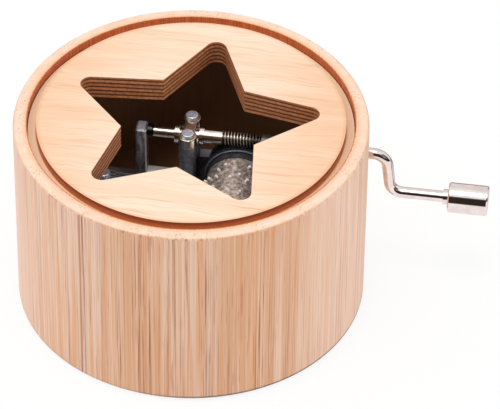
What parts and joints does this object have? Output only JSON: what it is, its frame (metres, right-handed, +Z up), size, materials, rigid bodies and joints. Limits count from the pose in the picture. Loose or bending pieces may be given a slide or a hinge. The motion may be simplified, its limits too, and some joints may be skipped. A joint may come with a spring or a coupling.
{
  "type": "hand-crank music box",
  "caption": "Round wooden hand-crank music box with a star-shaped cut-out in its inset lid, a pinned-barrel movement inside and a bent wire crank with a turning knob.",
  "frame": {"origin": "centre of the base, on the plane that the box stands on", "axes": "+Z up along the case axis; +X along the crank shaft, from the case towards the knob; the shaft runs 11 mm to the +Y side of the case axis"},
  "size_m": [0.0935, 0.07, 0.0426],
  "materials": {
    "bamboo": "matt, vertical strips",
    "plywood": "matt, fine grain, dark ply edges",
    "felt": "matt felt",
    "die_cast": "satin die casting",
    "nickel_cap": "bright plated",
    "screw_steel": "bright",
    "blued_steel": "blued, brushed along the teeth",
    "lead": "dull",
    "nickel_barrel": "nickel plated brass",
    "black_plastic": "satin",
    "arbor_steel": "ground",
    "chrome_shaft": "bright plated",
    "chrome_crank": "bright chrome",
    "chrome_knob": "bright chrome, turned",
    "nylon": "natural nylon"
  },
  "bodies": {
    "case": {"case_body": "bamboo", "star_lid": "plywood", "base_pad": "felt", "bed_frame": "die_cast", "bearing_cap": "nickel_cap", "bearing_cap_screws": "screw_steel", "comb_screws": "screw_steel", "bed_screws": "screw_steel", "comb": "blued_steel", "comb_weights": "lead"},
    "crank": {"worm_shaft": "chrome_shaft", "shaft_collars": "chrome_shaft", "crank_wire": "chrome_crank", "knob_stop": "chrome_crank", "knob_retainer": "arbor_steel"},
    "barrel": {"barrel": "nickel_barrel", "worm_wheel": "black_plastic", "barrel_end_plug": "black_plastic", "barrel_arbor": "arbor_steel", "arbor_clip": "arbor_steel"},
    "knob": {"crank_knob": "chrome_knob", "knob_bush": "nylon"}
  },
  "joints": [
    {"name": "crank_turn", "type": "hinge", "parent": "case", "child": "crank", "pos_m": [0.04, 0.011, 0.0293], "axis": [1, 0, 0], "continuous": true},
    {"name": "barrel_turn", "type": "hinge", "parent": "case", "child": "barrel", "pos_m": [0.0086, 0, 0.0212], "axis": [0, 1, 0], "continuous": true},
    {"name": "knob_spin", "type": "hinge", "parent": "crank", "child": "knob", "pos_m": [0.054, 0.011, 0.0199], "axis": [1, 0, 0], "continuous": true}
  ],
  "couplings": [
    {"joint": "barrel_turn", "follows": "crank_turn", "ratio": -0.014493}
  ]
}
